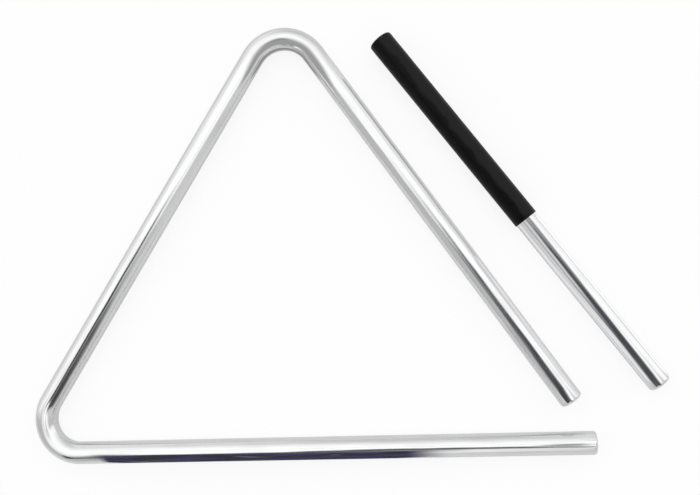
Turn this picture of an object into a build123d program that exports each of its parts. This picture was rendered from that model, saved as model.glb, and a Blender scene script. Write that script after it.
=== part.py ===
from build123d import *
import math
import os

# A hand-held triangle: one round steel bar bent at two corners and left open at the
# third, and its beater, a straight steel rod with a black sleeve over its handle end.
# Both lie on a flat surface. X runs along the bottom leg towards its open end, Y points
# from the bottom leg to the top bend, and Z points up from the surface. The origin is
# the middle of the box round both pieces, at the height of the surface.

# ---------------- driving dimensions, in millimetres and degrees ----------------

# bent bar; a leg runs to the point where the two centrelines would cross at a corner
bar_diameter = 10.0
left_leg_length = 235.0
right_leg_length = 214.5
bottom_leg_length = 259.0
left_corner_angle = 56.5
top_corner_angle = 67.5
left_bend_radius = 15.5
top_bend_radius = 16.5
bar_end_rounding = 1.2

# beater rod
rod_diameter = 10.0
rod_length = 190.5
rod_end_rounding = 1.3

# grip sleeve, closed at the handle end
grip_length = 102.0
grip_wall = 0.45
grip_end_thickness = 1.5
grip_end_rounding = 1.2
grip_mouth_rounding = 0.2

# how the beater lies beside the right leg
beater_spacing = 27.1
beater_setback = 38.2
beater_splay = 2.1

# ---------------- sizes and places worked out from them ----------------

bar_radius = bar_diameter / 2
rod_radius = rod_diameter / 2
grip_radius = rod_radius + grip_wall


def direction(angle):
    """A unit vector in the XY plane, at this many degrees from X towards Y."""
    return Vector(math.cos(math.radians(angle)), math.sin(math.radians(angle)), 0)


right_leg_angle = left_corner_angle + top_corner_angle - 180
left_corner = Vector(0, 0, bar_radius)
top_corner = left_corner + direction(left_corner_angle) * left_leg_length
right_leg_end = top_corner + direction(right_leg_angle) * right_leg_length
bottom_leg_end = left_corner + direction(0) * bottom_leg_length

beater_angle = right_leg_angle + beater_splay
beater_start = (
    top_corner
    + direction(right_leg_angle) * beater_setback
    + direction(right_leg_angle + 90) * beater_spacing
)
beater_start = Vector(beater_start.X, beater_start.Y, grip_radius)
beater_frame = Plane(origin=beater_start, z_dir=direction(beater_angle))


# ---------------- the pieces ----------------


def make_triangle_bar():
    """The round bar, swept along its bent centreline, with its two cut ends rounded over."""
    centreline = FilletPolyline(
        bottom_leg_end,
        left_corner,
        top_corner,
        right_leg_end,
        radius=[left_bend_radius, top_bend_radius],
    )
    section = Plane(origin=centreline @ 0, z_dir=centreline % 0) * Circle(bar_radius)
    bar = sweep(section, path=centreline)
    cut_ends = [bar.faces().sort_by_distance(end)[0] for end in (bottom_leg_end, right_leg_end)]
    return fillet([edge for face in cut_ends for edge in face.edges()], bar_end_rounding)


def make_beater_rod():
    """The beater's rod, one straight length that also runs inside the sleeve to its closed end."""
    rod = extrude(Circle(rod_radius), rod_length)
    rod = fillet(rod.edges().filter_by(GeomType.CIRCLE), rod_end_rounding)
    return beater_frame * Pos(0, 0, grip_end_thickness) * rod


def make_beater_grip():
    """The black sleeve, drawn tight over the rod, closed and rounded at the handle end."""
    sleeve = extrude(Circle(grip_radius), grip_length)
    ends = sleeve.edges().filter_by(GeomType.CIRCLE).sort_by(Axis.Z)
    sleeve = fillet(ends[0], grip_end_rounding)
    mouth = sleeve.edges().filter_by(GeomType.CIRCLE).sort_by(Axis.Z)[-1]
    sleeve = fillet(mouth, grip_mouth_rounding)
    bore = Pos(0, 0, grip_end_thickness) * extrude(Circle(rod_radius), grip_length)
    return beater_frame * (sleeve - bore)


pieces = {
    "triangle_bar": make_triangle_bar(),
    "beater_rod": make_beater_rod(),
    "beater_grip": make_beater_grip(),
}

# the origin goes under the middle of the box round all the pieces
whole = Compound(list(pieces.values())).bounding_box()
to_origin = Pos(-(whole.min.X + whole.max.X) / 2, -(whole.min.Y + whole.max.Y) / 2, -whole.min.Z)

os.makedirs("parts", exist_ok=True)
for name, piece in pieces.items():
    export_step(to_origin * piece, f"parts/{name}.step")
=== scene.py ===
import bpy
import bmesh
import math
from mathutils import Matrix, Vector


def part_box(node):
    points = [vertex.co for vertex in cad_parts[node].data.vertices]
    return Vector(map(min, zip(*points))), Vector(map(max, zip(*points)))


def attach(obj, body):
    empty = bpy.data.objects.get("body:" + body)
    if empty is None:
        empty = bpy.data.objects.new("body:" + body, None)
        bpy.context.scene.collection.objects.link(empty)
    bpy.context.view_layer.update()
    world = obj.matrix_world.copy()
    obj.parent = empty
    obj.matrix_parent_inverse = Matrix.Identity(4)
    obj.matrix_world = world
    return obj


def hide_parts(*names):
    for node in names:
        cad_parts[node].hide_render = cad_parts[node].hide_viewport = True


# A hand-held triangle and its beater, both lying on a white sheet and seen from above.
# Lengths are metres. X runs along the bottom leg to its open end, Y points to the top
# bend, Z points up from the sheet.

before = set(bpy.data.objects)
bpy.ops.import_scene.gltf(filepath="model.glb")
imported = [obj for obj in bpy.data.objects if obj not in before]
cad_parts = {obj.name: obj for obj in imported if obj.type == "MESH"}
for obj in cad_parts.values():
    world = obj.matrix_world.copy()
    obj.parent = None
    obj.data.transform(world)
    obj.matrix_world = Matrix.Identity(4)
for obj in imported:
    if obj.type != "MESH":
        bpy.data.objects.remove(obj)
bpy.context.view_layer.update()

MM = 0.001

# ---------------- sizes, and angles in degrees ----------------

BAR_RADIUS = 5.0 * MM
LEFT_LEG = 235.0 * MM
RIGHT_LEG = 214.5 * MM
BOTTOM_LEG = 259.0 * MM
LEFT_CORNER_ANGLE = 56.5
TOP_CORNER_ANGLE = 67.5
LEFT_BEND_RADIUS = 15.5 * MM
TOP_BEND_RADIUS = 16.5 * MM
BAR_END_ROUNDING = 1.2 * MM

ROD_RADIUS = 5.0 * MM
ROD_LENGTH = 190.5 * MM
ROD_END_ROUNDING = 1.3 * MM

GRIP_LENGTH = 102.0 * MM
GRIP_WALL = 0.45 * MM
GRIP_END_THICKNESS = 1.5 * MM
GRIP_END_ROUNDING = 1.2 * MM
GRIP_MOUTH_ROUNDING = 0.15 * MM
GRIP_RADIUS = ROD_RADIUS + GRIP_WALL

BEATER_SPACING = 27.1 * MM
BEATER_SETBACK = 38.2 * MM
BEATER_SPLAY = 2.1

# ---------------- how finely the meshes are made ----------------

SIDES = 96
END_SEGMENTS = 7
MOUTH_SEGMENTS = 3
END_RING = 0.3 * MM
MERGE_DISTANCE = 0.001 * MM
SMOOTH_BELOW = 35


def heading(degrees):
    """A unit vector on the sheet, at this many degrees from X towards Y."""
    return Vector((math.cos(math.radians(degrees)), math.sin(math.radians(degrees)), 0))


# ---------------- places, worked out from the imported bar's own box ----------------

bar_low, bar_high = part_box("triangle_bar")
RIGHT_LEG_HEADING = LEFT_CORNER_ANGLE + TOP_CORNER_ANGLE - 180
bottom_leg_end = Vector((bar_high.x, bar_low.y + BAR_RADIUS, bar_low.z + BAR_RADIUS))
left_corner = bottom_leg_end - heading(0) * BOTTOM_LEG
top_corner = left_corner + heading(LEFT_CORNER_ANGLE) * LEFT_LEG
right_leg_end = top_corner + heading(RIGHT_LEG_HEADING) * RIGHT_LEG

BEATER_HEADING = RIGHT_LEG_HEADING + BEATER_SPLAY
beater_way = heading(BEATER_HEADING)
beater_side = heading(BEATER_HEADING + 90)
grip_end = top_corner + heading(RIGHT_LEG_HEADING) * BEATER_SETBACK
grip_end += heading(RIGHT_LEG_HEADING + 90) * BEATER_SPACING
grip_end.z = bar_low.z + GRIP_RADIUS

# ---------------- camera, nearly straight above ----------------

CAMERA_PLACE = Vector((52.3, -11.7, 400.8)) * MM
CAMERA_AIM = Vector((6.66, -3.13, 0)) * MM
CAMERA_UP = Vector((0.0442, 0.9989, 0.0163))
CLIP_START = 10 * MM
SENSOR_WIDTH = 36.0
FOCAL_PIXELS = 900
PICTURE_PIXELS = 700
LENS = FOCAL_PIXELS / PICTURE_PIXELS * SENSOR_WIDTH


def make_camera():
    camera = bpy.data.objects.new("camera", bpy.data.cameras.new("camera"))
    bpy.context.scene.collection.objects.link(camera)
    camera.data.sensor_width = SENSOR_WIDTH
    camera.data.lens = LENS
    camera.data.clip_start = CLIP_START
    back = (CAMERA_PLACE - CAMERA_AIM).normalized()
    right = CAMERA_UP.cross(back).normalized()
    up = back.cross(right)
    turn = Matrix((right, up, back)).transposed()
    camera.matrix_world = Matrix.Translation(CAMERA_PLACE) @ turn.to_4x4()
    bpy.context.scene.camera = camera


make_camera()

# ---------------- modelling by hand ----------------


def start_piece(name, radius, place, facing):
    """A round face of this radius, facing this way, left selected in edit mode."""
    bpy.ops.object.select_all(action="DESELECT")
    turn = facing.to_track_quat("Z", "Y").to_euler()
    bpy.ops.mesh.primitive_circle_add(
        vertices=SIDES, radius=radius, fill_type="NGON", location=place, rotation=turn
    )
    piece = bpy.context.object
    piece.name = piece.data.name = name
    bpy.ops.object.transform_apply(location=True, rotation=True, scale=True)
    bpy.ops.object.mode_set(mode="EDIT")
    bpy.ops.mesh.select_mode(type="FACE")
    bpy.ops.mesh.select_all(action="SELECT")
    return piece


def pull(offset, steps):
    """The selected face is drawn out along this offset in equal steps."""
    for _ in range(steps):
        bpy.ops.mesh.extrude_region_move(TRANSFORM_OT_translate={"value": offset / steps})


def swing(radians, centre, steps):
    """The selected face is spun clockwise, seen from above, round an upright axis."""
    bpy.ops.mesh.spin(steps=steps, angle=radians, center=centre, axis=(0, 0, 1))


def merge_doubles():
    bpy.ops.mesh.select_all(action="SELECT")
    bpy.ops.mesh.remove_doubles(threshold=MERGE_DISTANCE)


def select_end(piece, place, facing):
    """Only the flat face with its middle here, square to this way, is left selected."""
    at_place, square = 0.1 * MM, 0.99
    bpy.ops.mesh.select_all(action="DESELECT")
    mesh = bmesh.from_edit_mesh(piece.data)
    for face in mesh.faces:
        near = (face.calc_center_median() - place).length < at_place
        face.select_set(near and abs(face.normal.dot(facing)) > square)
    mesh.select_flush_mode()
    bmesh.update_edit_mesh(piece.data)


def select_rim(piece, place, facing, radius):
    """Only the ring of edges of this radius, in the plane through place, is left selected."""
    in_plane, on_ring = 0.001 * MM, 0.01 * MM
    bpy.ops.mesh.select_mode(type="EDGE")
    bpy.ops.mesh.select_all(action="DESELECT")
    mesh = bmesh.from_edit_mesh(piece.data)
    for edge in mesh.edges:
        reach = [corner.co - place for corner in edge.verts]
        flat = all(abs(r.dot(facing)) < in_plane for r in reach)
        edge.select_set(flat and all(abs(r.length - radius) < on_ring for r in reach))
    mesh.select_flush_mode()
    bmesh.update_edit_mesh(piece.data)


def round_rim(piece, place, facing, radius, rounding, segments):
    select_rim(piece, place, facing, radius)
    bpy.ops.mesh.bevel(offset=rounding, segments=segments, profile=0.5, affect="EDGES")
    bpy.ops.mesh.select_mode(type="FACE")


def finish_end(piece, place, facing, radius, rounding):
    """The end's rim is rounded, and its flat face gets a narrow ring of its own."""
    round_rim(piece, place, facing, radius, rounding, END_SEGMENTS)
    select_end(piece, place, facing)
    bpy.ops.mesh.inset(thickness=END_RING)


def finish_piece(piece, unroll):
    """Faces turned outwards, edit mode left, and smooth but for sharp edges.

    Every point keeps where it lies on the straightened bar: out, up and along it.
    """
    merge_doubles()
    bpy.ops.mesh.normals_make_consistent(inside=False)
    bpy.ops.object.mode_set(mode="OBJECT")
    bpy.ops.object.shade_smooth_by_angle(angle=math.radians(SMOOTH_BELOW))
    marks = piece.data.attributes.new("on_bar", "FLOAT_VECTOR", "POINT")
    for point, mark in zip(piece.data.vertices, marks.data):
        mark.vector = unroll(point.co)


# ---------------- the triangle ----------------

# A tangent is the length of leg between a sharp corner and the start of its bend.
LEFT_TANGENT = LEFT_BEND_RADIUS / math.tan(math.radians(LEFT_CORNER_ANGLE / 2))
TOP_TANGENT = TOP_BEND_RADIUS / math.tan(math.radians(TOP_CORNER_ANGLE / 2))


def bend_centre(corner, one_way, other_way, radius):
    middle = (heading(one_way) + heading(other_way)).normalized()
    half = heading(one_way).angle(middle)
    return corner + middle * (radius / math.sin(half))


left_bend_centre = bend_centre(left_corner, 0, LEFT_CORNER_ANGLE, LEFT_BEND_RADIUS)
top_bend_centre = bend_centre(
    top_corner, LEFT_CORNER_ANGLE + 180, RIGHT_LEG_HEADING, TOP_BEND_RADIUS
)
left_sweep = math.radians(180 - LEFT_CORNER_ANGLE)
top_sweep = math.radians(180 - TOP_CORNER_ANGLE)

bottom_run = BOTTOM_LEG - LEFT_TANGENT
left_run = LEFT_LEG - LEFT_TANGENT - TOP_TANGENT
right_run = RIGHT_LEG - TOP_TANGENT
left_leg_start = left_corner + heading(LEFT_CORNER_ANGLE) * LEFT_TANGENT
right_leg_start = top_corner + heading(RIGHT_LEG_HEADING) * TOP_TANGENT


def on_leg(point, start, way, first, last):
    """How far the point is from this leg, how far out from its axis, and how far along it.

    The leg counts from first to last, measured from its start.
    """
    reach = point - start
    along = reach.dot(heading(way))
    out = reach.dot(heading(way + 90))
    past_an_end = max(first - along, along - last, 0)
    return math.hypot(past_an_end, out), out, along


def on_bend(point, centre, radius, start_angle, sweep):
    """The same for a bend, which turns clockwise from this angle, seen from above."""
    spoke = (point - centre).to_2d()
    turned = (math.radians(start_angle) - math.atan2(spoke.y, spoke.x)) % (2 * math.pi)
    out = spoke.length - radius
    distance = abs(out) if turned <= sweep else math.inf
    return distance, out, turned * radius


# The two outer legs count as going on past their open ends.
BAR_PATH = (
    (on_leg, (bottom_leg_end, 180, -math.inf, bottom_run), bottom_run),
    (on_bend, (left_bend_centre, LEFT_BEND_RADIUS, 270, left_sweep), left_sweep * LEFT_BEND_RADIUS),
    (on_leg, (left_leg_start, LEFT_CORNER_ANGLE, 0, left_run), left_run),
    (
        on_bend,
        (top_bend_centre, TOP_BEND_RADIUS, LEFT_CORNER_ANGLE + 90, top_sweep),
        top_sweep * TOP_BEND_RADIUS,
    ),
    (on_leg, (right_leg_start, RIGHT_LEG_HEADING, 0, math.inf), right_run),
)


def unroll_bar(point):
    """Out from the axis, up from it, and along it from the bottom leg's open end."""
    found = []
    passed = 0.0
    for lie_on, stretch, length in BAR_PATH:
        distance, out, along = lie_on(point, *stretch)
        found.append((distance, out, passed + along))
        passed += length
    _, out, along = min(found, key=lambda lie: lie[0])
    return Vector((out, point.z - bottom_leg_end.z, along))


def make_triangle_bar():
    """One round bar, drawn along the bottom leg, bent twice, with both ends cut square."""
    bar = start_piece("triangle_bar_chromed", BAR_RADIUS, bottom_leg_end, heading(180))
    pull(heading(180) * bottom_run, steps=30)
    swing(left_sweep, left_bend_centre, steps=44)
    pull(heading(LEFT_CORNER_ANGLE) * left_run, steps=26)
    swing(top_sweep, top_bend_centre, steps=40)
    pull(heading(RIGHT_LEG_HEADING) * right_run, steps=24)
    merge_doubles()
    finish_end(bar, bottom_leg_end, heading(0), BAR_RADIUS, BAR_END_ROUNDING)
    finish_end(bar, right_leg_end, heading(RIGHT_LEG_HEADING), BAR_RADIUS, BAR_END_ROUNDING)
    finish_piece(bar, unroll_bar)
    return bar


# ---------------- the beater ----------------


def unroll_beater(point):
    """Out from the beater's axis, up from it, and along it from the grip's closed end."""
    reach = point - grip_end
    return Vector((reach.dot(beater_side), reach.z, reach.dot(beater_way)))


def make_beater_rod():
    """A straight rod with both ends cut square."""
    start = grip_end + beater_way * GRIP_END_THICKNESS
    rod = start_piece("beater_rod_chromed", ROD_RADIUS, start, beater_way)
    pull(beater_way * ROD_LENGTH, steps=30)
    merge_doubles()
    for place in (start, start + beater_way * ROD_LENGTH):
        finish_end(rod, place, beater_way, ROD_RADIUS, ROD_END_ROUNDING)
    finish_piece(rod, unroll_beater)
    return rod


def make_beater_grip():
    """A thin sleeve, closed and rounded at the handle end, with a square mouth."""
    mouth = grip_end + beater_way * GRIP_LENGTH
    grip = start_piece("beater_grip_sleeve", GRIP_RADIUS, grip_end, beater_way)
    pull(beater_way * GRIP_LENGTH, steps=34)
    bpy.ops.mesh.inset(thickness=GRIP_WALL)
    pull(beater_way * (GRIP_END_THICKNESS - GRIP_LENGTH), steps=34)
    merge_doubles()
    finish_end(grip, grip_end, beater_way, GRIP_RADIUS, GRIP_END_ROUNDING)
    round_rim(grip, mouth, beater_way, GRIP_RADIUS, GRIP_MOUTH_ROUNDING, MOUTH_SEGMENTS)
    finish_piece(grip, unroll_beater)
    return grip


triangle_bar = make_triangle_bar()
beater_rod = make_beater_rod()
beater_grip = make_beater_grip()

# ---------------- wiring of nodes ----------------


class Wiring:
    """Adds nodes to one tree and joins them, a line for each."""

    def __init__(self, tree):
        self.tree = tree

    def add(self, kind, inputs=None, **settings):
        node = self.tree.nodes.new(kind)
        for name, value in settings.items():
            setattr(node, name, value)
        for socket, value in (inputs or {}).items():
            self.feed(node.inputs[socket], value)
        return node

    def feed(self, socket, value):
        if isinstance(value, bpy.types.NodeSocket):
            self.tree.links.new(value, socket)
        else:
            socket.default_value = value

    def math(self, operation, *values):
        node = self.add("ShaderNodeMath", dict(enumerate(values)), operation=operation)
        return node.outputs[0]

    def step(self, value, edge, width):
        """0 below the edge and 1 above it, with a soft change of this width."""
        inputs = {"Value": value, "From Min": edge - width / 2, "From Max": edge + width / 2}
        node = self.add("ShaderNodeMapRange", inputs, interpolation_type="SMOOTHSTEP")
        return node.outputs["Result"]

    def turn_down(self, value):
        return self.math("SUBTRACT", 1.0, value)

    def between(self, value, low, high, low_width, high_width):
        """1 between the two edges, each with its own softness, and 0 outside them."""
        below_high = self.turn_down(self.step(value, high, high_width))
        return self.math("MULTIPLY", self.step(value, low, low_width), below_high)

    def blend(self, amount, below, above):
        """A number between the two, by the amount."""
        node = self.add("ShaderNodeMix", {0: amount, 2: below, 3: above}, data_type="FLOAT")
        return node.outputs[0]

    def length(self, x, y):
        squares = self.math("MULTIPLY_ADD", x, x, self.math("MULTIPLY", y, y))
        return self.math("SQRT", squares)

    def noise(self, place, scale, detail, shift=0.0):
        """Noise from 0 to 1 at this place, with a scale of its own along X, Y and Z."""
        inputs = {"Vector": place, "Scale": scale, "Location": (shift, 0, 0)}
        spread = self.add("ShaderNodeMapping", inputs).outputs[0]
        inputs = {"Vector": spread, "Scale": 1.0, "Detail": detail}
        return self.add("ShaderNodeTexNoise", inputs).outputs["Fac"]

    def bump(self, height, distance, under=None):
        inputs = {"Height": height, "Distance": distance, "Strength": 1.0}
        if under is not None:
            inputs["Normal"] = under
        return self.add("ShaderNodeBump", inputs).outputs[0]

    def tint(self, amount, below, above):
        """One colour below and the other above, mixed by the amount."""
        node = self.add("ShaderNodeMix", data_type="RGBA")
        for number, value in ((0, amount), (6, below), (7, above)):
            self.feed(node.inputs[number], value)
        return node.outputs[2]


def new_material(name):
    material = bpy.data.materials.new(name)
    material.use_nodes = True
    material.node_tree.nodes.clear()
    wires = Wiring(material.node_tree)
    output = wires.add("ShaderNodeOutputMaterial")
    return material, wires, output


# ---------------- finishes ----------------

CLEAN_CHROME = (0.80, 0.803, 0.807, 1)
SMEARED_CHROME = (0.75, 0.75, 0.755, 1)
BLACK_RUBBER = (0.0012, 0.0012, 0.0013, 1)
# Painted light: the greyer colour of the sleeve's lit side.
PAINTED_LIT_SIDE_RUBBER = (0.0105, 0.0105, 0.0107, 1)
DUST = (0.016, 0.016, 0.016, 1)


def chrome(name, seed):
    """Bright plating over drawn steel: slow waves, fine lengthwise lines and faint smears."""
    material, wires, output = new_material(name)
    place = wires.add("ShaderNodeAttribute", attribute_name="on_bar").outputs["Vector"]

    def grain(across, along, detail):
        scale = (1 / across, 1 / across, 1 / along)
        return wires.noise(place, scale, detail, shift=seed)

    waves = grain(across=5.0 * MM, along=24.0 * MM, detail=1.0)
    lines = grain(across=0.3 * MM, along=30.0 * MM, detail=2.0)
    smears = grain(across=4.0 * MM, along=22.0 * MM, detail=4.0)
    wave_bump = wires.bump(waves, distance=0.16 * MM)
    line_bump = wires.bump(lines, distance=0.001 * MM, under=wave_bump)
    smeared = wires.step(smears, edge=0.56, width=0.3)
    polished, smear_dulls, lines_dull = 0.09, 0.07, 0.06
    roughness = wires.math("MULTIPLY_ADD", smeared, smear_dulls, polished)
    roughness = wires.math("MULTIPLY_ADD", lines, lines_dull, roughness)
    colour = wires.tint(smeared, CLEAN_CHROME, SMEARED_CHROME)
    shader = wires.add(
        "ShaderNodeBsdfPrincipled",
        {"Base Color": colour, "Metallic": 1.0, "Roughness": roughness, "Normal": line_bump},
    )
    wires.feed(output.inputs["Surface"], shader.outputs[0])
    return material


def black_sleeve():
    """Black rubber, fine-grained and a little wavy, with dust, and one side painted greyer as painted
    light.
    """
    material, wires, output = new_material("black_sleeve")
    place = wires.add("ShaderNodeAttribute", attribute_name="on_bar").outputs["Vector"]

    def grain(size, detail):
        return wires.noise(place, (1 / size, 1 / size, 1 / size), detail)

    fine = grain(size=0.35 * MM, detail=3.0)
    waves = grain(size=9.0 * MM, detail=1.0)
    dusty = wires.step(grain(size=0.8 * MM, detail=2.0), edge=0.72, width=0.06)
    wave_bump = wires.bump(waves, distance=0.3 * MM)
    fine_bump = wires.bump(fine, distance=0.012 * MM, under=wave_bump)
    # One side of the sleeve, past a wavy border along its length, is painted greyer: painted light for
    # the brighter light falling on that side.
    out = wires.add("ShaderNodeSeparateXYZ", {0: place}).outputs[0]
    border_wander = 5.0 * MM
    wandering = wires.math("MULTIPLY_ADD", wires.math("SUBTRACT", waves, 0.5), border_wander, out)
    painted_lit_side = wires.step(wandering, edge=-0.3 * MM, width=1.6 * MM)
    colour = wires.tint(painted_lit_side, BLACK_RUBBER, PAINTED_LIT_SIDE_RUBBER)
    colour = wires.tint(dusty, colour, DUST)
    smooth, grain_dulls, sheen = 0.26, 0.1, 0.12
    roughness = wires.math("MULTIPLY_ADD", fine, grain_dulls, smooth)
    shader = wires.add(
        "ShaderNodeBsdfPrincipled",
        {"Base Color": colour, "Roughness": roughness, "Specular IOR Level": sheen,
         "Normal": fine_bump},
    )
    wires.feed(output.inputs["Surface"], shader.outputs[0])
    return material


triangle_bar.data.materials.append(chrome("chromed_bar", seed=0.0))
beater_rod.data.materials.append(chrome("chromed_rod", seed=5.0))
beater_grip.data.materials.append(black_sleeve())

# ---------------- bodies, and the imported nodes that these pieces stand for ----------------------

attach(triangle_bar, "triangle")
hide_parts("triangle_bar")

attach(beater_rod, "beater")
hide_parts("beater_rod")

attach(beater_grip, "beater")
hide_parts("beater_grip")

# ---------------- the white sheet ----------------

SHEET_SIZE = 3.0
SHEET_PAPER = (0.86, 0.86, 0.86, 1)
SHEET_GLOW = 1.06
GLOW_SEEN = 0.8
GLOW_MIRRORED = 0.15


def flat_stage(name, length, width, middle, way=0, lean=0):
    """A flat square-cornered piece of stage, its length turned this way on the sheet.

    It leans by this many degrees about its own length, and stands upright at 90.
    """
    bpy.ops.object.select_all(action="DESELECT")
    turn = (math.radians(lean), 0, math.radians(way))
    bpy.ops.mesh.primitive_plane_add(size=1, location=middle, rotation=turn)
    flat = bpy.context.object
    flat.name = flat.data.name = name
    flat.scale = (length, width, 1)
    bpy.ops.object.transform_apply(location=True, rotation=True, scale=True)
    return flat


def white_sheet():
    """The pale sheet under the object: white to the camera, with the object's soft shadow."""
    sheet = flat_stage("white_sheet", SHEET_SIZE, SHEET_SIZE, middle=(0, 0, 0))
    material, wires, output = new_material("white_sheet")
    rays = wires.add("ShaderNodeLightPath").outputs
    mirrored = wires.math("MAXIMUM", rays["Is Glossy Ray"], rays["Is Transmission Ray"])
    glow = wires.math("MULTIPLY", rays["Is Camera Ray"], GLOW_SEEN)
    glow = wires.math("MULTIPLY_ADD", mirrored, GLOW_MIRRORED, glow)
    paper = wires.add("ShaderNodeBsdfDiffuse", {"Color": SHEET_PAPER}).outputs[0]
    light = wires.add("ShaderNodeEmission", {"Color": (1, 1, 1, 1), "Strength": SHEET_GLOW})
    both = wires.add("ShaderNodeMixShader", {0: glow, 1: paper, 2: light.outputs[0]})
    wires.feed(output.inputs["Surface"], both.outputs[0])
    sheet.data.materials.append(material)


# ---------------- cards close to the object, for its reflections ----------------

WHITE = (1.25, 1.25, 1.25, 1)
OFF_WHITE = (1.0, 1.0, 1.0, 1)
PALE_GREY = (0.40, 0.40, 0.40, 1)
SHADE = (0.32, 0.32, 0.32, 1)
DARK = (0.07, 0.072, 0.08, 1)

NAVY_BLUE = (0.062, 0.058, 0.13, 1)
NAVY_BLACK = (0.04, 0.04, 0.052, 1)
NAVY_PALE = (0.2, 0.2, 0.24, 1)

STREAK_GREY = (0.66, 0.66, 0.68, 1)
STREAK_WHITE = (1.1, 1.1, 1.1, 1)


def navy(wires):
    """Dark blue, blacker in long soft streaks and paler in a few thin ones."""
    place = wires.add("ShaderNodeTexCoord").outputs["Object"]
    streak_length, streak_width = 34 * MM, 4 * MM
    scale = (1 / streak_length, 1 / streak_width, 1 / streak_width)
    long_streaks = wires.noise(place, scale, detail=2.0)
    blackened = wires.step(long_streaks, edge=0.5, width=0.16)
    paled = wires.step(long_streaks, edge=0.68, width=0.1)
    return wires.tint(paled, wires.tint(blackened, NAVY_BLUE, NAVY_BLACK), NAVY_PALE)


def streaks(wires):
    """White paper with faint grey streaks along it."""
    spot = wires.add("ShaderNodeTexCoord").outputs["UV"]
    long_streaks = wires.noise(spot, (2.5, 12, 1), detail=1.0)
    return wires.tint(wires.step(long_streaks, edge=0.5, width=0.35), STREAK_GREY, STREAK_WHITE)


def patch(ends, end_softness, sides, side_softness, strength=(1.0, 1.0)):
    """Where a card is there: between two ends and two sides, with soft edges.

    The ends and sides are shares of its length and width, and a side below 0 is off the card.
    The strength goes evenly from its first value to its second along the card.
    """

    def inside(wires, u, v):
        along = wires.between(u, *ends, *end_softness)
        across = wires.between(v, *sides, *side_softness)
        there = wires.math("MULTIPLY", along, across)
        return wires.math("MULTIPLY", there, wires.blend(u, *strength))

    return inside


def oval(wires, u, v):
    """Where a round or oval card is there: in its middle, with a soft edge."""
    reach = wires.length(wires.math("SUBTRACT", u, 0.5), wires.math("SUBTRACT", v, 0.5))
    return wires.turn_down(wires.step(reach, edge=0.36, width=0.26))


def fading_oval(wires, u, v):
    return wires.math("MULTIPLY", oval(wires, u, v), wires.blend(u, 1.0, 0.2))


def hem_shape(wires, u, v):
    """A strip that is wide over its first half and narrow over its second."""
    ends = wires.between(u, low=0.08, high=0.96, low_width=0.14, high_width=0.08)
    low_side = wires.blend(wires.step(u, edge=0.5, width=0.2), 0.16, 0.47)
    above_low_side = wires.step(wires.math("SUBTRACT", v, low_side), edge=0.0, width=0.14)
    there = wires.math("MULTIPLY", ends, above_low_side)
    return wires.math("MULTIPLY", there, wires.turn_down(wires.step(v, edge=0.9, width=0.2)))


def upright_shape(wires, u, v):
    """A strip that is fainter beside the grip and lower beside the rod's tip."""
    ends = wires.between(u, low=0.03, high=0.98, low_width=0.04, high_width=0.04)
    faint_by_grip = wires.blend(wires.step(u, edge=0.565, width=0.02), 0.6, 1.0)
    there = wires.math("MULTIPLY", ends, faint_by_grip)
    top = wires.blend(wires.step(u, edge=0.92, width=0.1), 0.85, 0.68)
    above_top = wires.step(wires.math("SUBTRACT", v, top), edge=0.0, width=0.3)
    return wires.math("MULTIPLY", there, wires.turn_down(above_top))


def card(name, colour, inside, **lie):
    """A small card close to the object, met only by what the metal mirrors.

    The colour is plain, or worked out by a function. inside(wires, u, v) says how much of the
    card is there, from 0 to 1, with u along its length and v across it.
    """
    flat = flat_stage(name, **lie)
    flat.visible_camera = flat.visible_diffuse = flat.visible_shadow = False
    material, wires, output = new_material(name)
    spot = wires.add("ShaderNodeTexCoord").outputs["UV"]
    u, v, _ = wires.add("ShaderNodeSeparateXYZ", {0: spot}).outputs
    clear = wires.add("ShaderNodeBsdfTransparent").outputs[0]
    tone = colour(wires) if callable(colour) else colour
    light = wires.add("ShaderNodeEmission", {"Color": tone, "Strength": 1.0}).outputs[0]
    both = wires.add("ShaderNodeMixShader", {0: inside(wires, u, v), 1: clear, 2: light})
    wires.feed(output.inputs["Surface"], both.outputs[0])
    flat.data.materials.append(material)


def place_by(start, way, along, out, up):
    """A place along a bar from its start, out to the left of its way, and up from the sheet."""
    place = start + heading(way) * along + heading(way + 90) * out
    place.z = up
    return place


def bottom_leg_cards():
    """Dark blue in front of the leg, and a white hem with a thin dark line above it."""
    card(
        "navy_card",
        navy,
        patch(ends=(0.03, 0.9), end_softness=(0.03, 0.12), sides=(-1, 0.93), side_softness=(0.1, 0.1)),
        length=170 * MM,
        width=19.2 * MM,
        middle=Vector((-30, -100, 7.5)) * MM,
        lean=51.3,
    )
    card(
        "navy_floor",
        navy,
        patch(ends=(0.05, 0.9), end_softness=(0.06, 0.1), sides=(0.1, 0.9), side_softness=(0.2, 0.2)),
        length=160 * MM,
        width=10 * MM,
        middle=Vector((-34, -101.5, 0.4)) * MM,
    )
    card(
        "white_hem",
        WHITE,
        hem_shape,
        length=215 * MM,
        width=7 * MM,
        middle=Vector((-10.5, -92.3, 16)) * MM,
    )
    card(
        "hem_line",
        DARK,
        patch(
            ends=(0.06, 0.9),
            end_softness=(0.12, 0.16),
            sides=(0.25, 0.75),
            side_softness=(0.5, 0.5),
            strength=(0.85, 0.85),
        ),
        length=126 * MM,
        width=2.6 * MM,
        middle=Vector((36, -93.9, 15.8)) * MM,
    )


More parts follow.
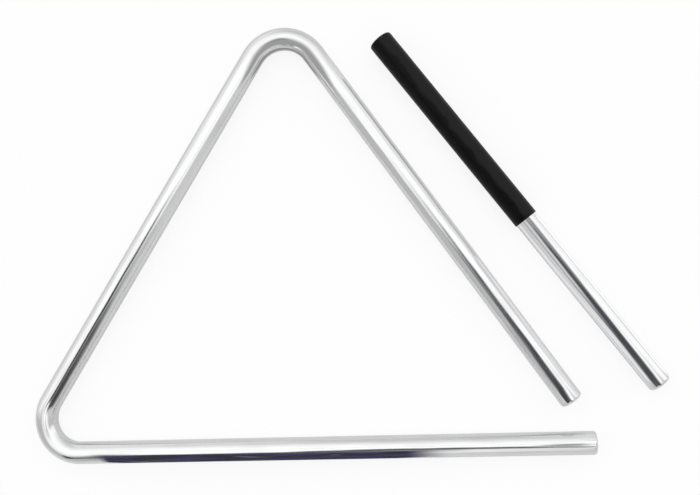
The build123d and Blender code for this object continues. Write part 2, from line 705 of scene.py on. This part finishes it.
def white_cards():
    """White over the upper left leg, by the lower left bend and over the bottom leg's end."""
    card(
        "white_strip",
        WHITE,
        patch(
            ends=(0.2, 0.97), end_softness=(0.36, 0.04), sides=(0.15, 0.85), side_softness=(0.3, 0.3)
        ),
        length=130 * MM,
        width=16 * MM,
        middle=place_by(left_corner, LEFT_CORNER_ANGLE, along=170 * MM, out=0, up=30 * MM),
        way=LEFT_CORNER_ANGLE,
    )
    card(
        "white_oval",
        WHITE,
        fading_oval,
        length=48 * MM,
        width=26 * MM,
        middle=Vector((-136, -99, 30)) * MM,
        way=-26.6,
    )
    card(
        "off_white_strip",
        OFF_WHITE,
        patch(ends=(0.1, 0.98), end_softness=(0.2, 0.04), sides=(0.2, 0.8), side_softness=(0.4, 0.4)),
        length=78 * MM,
        width=18 * MM,
        middle=Vector((84, -109, 30)) * MM,
    )
    card(
        "white_dot",
        WHITE,
        oval,
        length=12 * MM,
        width=12 * MM,
        middle=Vector((-136.5, -78.5, 30)) * MM,
    )


def beater_cards():
    """One upright beside the beater, a dark and a pale one over the rod, and one on the sheet."""
    line_way = BEATER_HEADING - 3.6
    card(
        "beater_card",
        streaks,
        upright_shape,
        length=212 * MM,
        width=22 * MM,
        middle=place_by(grip_end, BEATER_HEADING, along=89 * MM, out=-14 * MM, up=11 * MM),
        way=BEATER_HEADING,
        lean=90,
    )
    card(
        "rod_line",
        DARK,
        patch(
            ends=(0.02, 0.99),
            end_softness=(0.03, 0.02),
            sides=(0.2, 0.8),
            side_softness=(0.4, 0.4),
            strength=(0.75, 0.95),
        ),
        length=98 * MM,
        width=8 * MM,
        middle=place_by(grip_end, BEATER_HEADING, along=148 * MM, out=0.2 * MM, up=16 * MM),
        way=line_way,
    )
    card(
        "rod_gleam",
        OFF_WHITE,
        patch(
            ends=(0.04, 0.7),
            end_softness=(0.08, 0.5),
            sides=(0.2, 0.8),
            side_softness=(0.4, 0.4),
            strength=(0.7, 0.7),
        ),
        length=74 * MM,
        width=6 * MM,
        middle=place_by(grip_end, BEATER_HEADING, along=136 * MM, out=-5.4 * MM, up=15.8 * MM),
        way=line_way,
    )
    # Painted light: a white patch on the sheet beside the rod, seen only in the metal, lifts the
    # sheet's shade there in the rod's reflection.
    card(
        "rod_floor",
        WHITE,
        patch(
            ends=(0.04, 0.96), end_softness=(0.08, 0.08), sides=(0.04, 0.9), side_softness=(0.08, 0.2)
        ),
        length=100 * MM,
        width=38 * MM,
        middle=place_by(grip_end, BEATER_HEADING, along=148 * MM, out=26 * MM, up=0.5 * MM),
        way=BEATER_HEADING,
    )


def right_leg_and_top_cards():
    """A dark line over the right leg, a grey disc of painted shadow on the sheet under the top bend,
    and grey over it.
    """
    card(
        "leg_line",
        DARK,
        patch(
            ends=(0.2, 0.85),
            end_softness=(0.36, 0.28),
            sides=(0.25, 0.75),
            side_softness=(0.5, 0.5),
            strength=(0.8, 0.8),
        ),
        length=88 * MM,
        width=5 * MM,
        middle=place_by(top_corner, RIGHT_LEG_HEADING, along=150 * MM, out=-4.7 * MM, up=15.5 * MM),
        way=RIGHT_LEG_HEADING,
    )
    # Painted shadow: a grey disc on the sheet inside the top bend, seen only in the metal, darkens the
    # bend's inner rim as a contact shadow would.
    card(
        "shade_disc",
        SHADE,
        oval,
        length=22 * MM,
        width=22 * MM,
        middle=place_by(top_bend_centre, 0, along=0, out=0, up=0.6 * MM),
    )
    card(
        "grey_disc",
        PALE_GREY,
        oval,
        length=39 * MM,
        width=39 * MM,
        middle=top_bend_centre + Vector((3, 1, 15)) * MM,
    )


# ---------------- the studio round it ----------------

TENT_WHITE = 1.25
FAR_GREY = 0.67
FAR_LEFT_GREY = 0.95
LOW_RIGHT_GREY = 0.64
NEAR_LEFT_GREY = 0.58
NEAR_RIGHT_GREY = 0.72
NEAR_MIDDLE_WHITE = 1.0
HAZE_GREY = 0.36
RIGHT_GAP_GREY = 0.05
LEFT_GAP_COLOUR = (0.056, 0.058, 0.066, 1)
TOP_GAP_COLOUR = (0.070, 0.072, 0.080, 1)

# It keeps the sky's layout from dividing by nothing straight up.
SMALLEST_LEVEL = 1e-4


def grey(level):
    return (level, level, level, 1)


def studio():
    """A white tent, greyer low down, with dark gaps near the top on the near side.

    The sky is laid out flat: across runs to X and ahead to Y, both in degrees from straight up.
    """
    world = bpy.data.worlds.new("studio")
    bpy.context.scene.world = world
    world.use_nodes = True
    world.node_tree.nodes.clear()
    wires = Wiring(world.node_tree)
    output = wires.add("ShaderNodeOutputWorld")
    way = wires.add("ShaderNodeTexCoord").outputs["Generated"]
    to_x, to_y, to_z = wires.add("ShaderNodeSeparateXYZ", {0: way}).outputs
    level = wires.length(to_x, to_y)
    from_top = wires.math("DEGREES", wires.math("ARCTAN2", level, to_z))
    stretch = wires.math("DIVIDE", from_top, wires.math("MAXIMUM", level, SMALLEST_LEVEL))
    across = wires.math("MULTIPLY", to_x, stretch)
    ahead = wires.math("MULTIPLY", to_y, stretch)

    def gap(x, y, turn, half_length, half_width, softness):
        """1 inside a long oval with soft edges, 0 outside."""
        long_way = heading(turn)
        reach_x = wires.math("SUBTRACT", across, x)
        reach_y = wires.math("SUBTRACT", ahead, y)
        along = wires.math("MULTIPLY", reach_x, long_way.x / half_length)
        along = wires.math("MULTIPLY_ADD", reach_y, long_way.y / half_length, along)
        aside = wires.math("MULTIPLY", reach_x, -long_way.y / half_width)
        aside = wires.math("MULTIPLY_ADD", reach_y, long_way.x / half_width, aside)
        reach = wires.length(along, aside)
        return wires.turn_down(wires.step(reach, edge=1.0, width=softness))

    far = wires.math(
        "MULTIPLY",
        wires.step(ahead, edge=52, width=68),
        wires.between(across, low=-72, high=69, low_width=18, high_width=11),
    )
    sky = wires.tint(far, grey(TENT_WHITE), grey(FAR_GREY))

    off_left_leg = heading(LEFT_CORNER_ANGLE + 90)
    far_left = wires.math("MULTIPLY", across, off_left_leg.x)
    far_left = wires.math("MULTIPLY_ADD", ahead, off_left_leg.y, far_left)
    sky = wires.tint(wires.step(far_left, edge=58, width=20), sky, grey(FAR_LEFT_GREY))

    low_right = wires.math(
        "MULTIPLY",
        wires.step(across, edge=31, width=22),
        wires.turn_down(wires.step(ahead, edge=10, width=14)),
    )
    sky = wires.tint(low_right, sky, grey(LOW_RIGHT_GREY))

    rightward = wires.step(across, edge=-27, width=10)
    near_left = wires.turn_down(wires.step(ahead, edge=-4, width=16))
    near_right = wires.turn_down(wires.step(ahead, edge=-19.4, width=8))
    near = wires.blend(rightward, near_left, near_right)
    near_grey = wires.tint(rightward, grey(NEAR_LEFT_GREY), grey(NEAR_RIGHT_GREY))
    sky = wires.tint(near, sky, near_grey)

    near_middle = wires.math(
        "MULTIPLY",
        wires.between(across, low=-34, high=12, low_width=14, high_width=14),
        wires.between(ahead, low=-62, high=-38, low_width=8, high_width=8),
    )
    sky = wires.tint(near_middle, sky, grey(NEAR_MIDDLE_WHITE))

    haze = gap(x=-16.0, y=-45.0, turn=80.0, half_length=32.0, half_width=13.0, softness=0.7)
    right_gap = gap(x=16.0, y=-35.5, turn=-43.0, half_length=26.0, half_width=8.0, softness=1.2)
    left_gap = gap(x=-24.0, y=-35.0, turn=48.0, half_length=30.0, half_width=9.0, softness=0.6)
    top_gap = gap(x=-4.0, y=-10.2, turn=39.6, half_length=18.5, half_width=9.0, softness=0.9)
    sky = wires.tint(haze, sky, grey(HAZE_GREY))
    sky = wires.tint(right_gap, sky, grey(RIGHT_GAP_GREY))
    sky = wires.tint(left_gap, sky, LEFT_GAP_COLOUR)
    sky = wires.tint(top_gap, sky, TOP_GAP_COLOUR)

    seen = wires.add("ShaderNodeLightPath").outputs["Is Camera Ray"]
    backdrop = wires.tint(seen, sky, (1, 1, 1, 1))
    light = wires.add("ShaderNodeBackground", {"Color": backdrop, "Strength": 1.0})
    wires.feed(output.inputs["Surface"], light.outputs[0])


white_sheet()
bottom_leg_cards()
white_cards()
beater_cards()
right_leg_and_top_cards()
studio()

bpy.context.scene.view_settings.view_transform = "Standard"
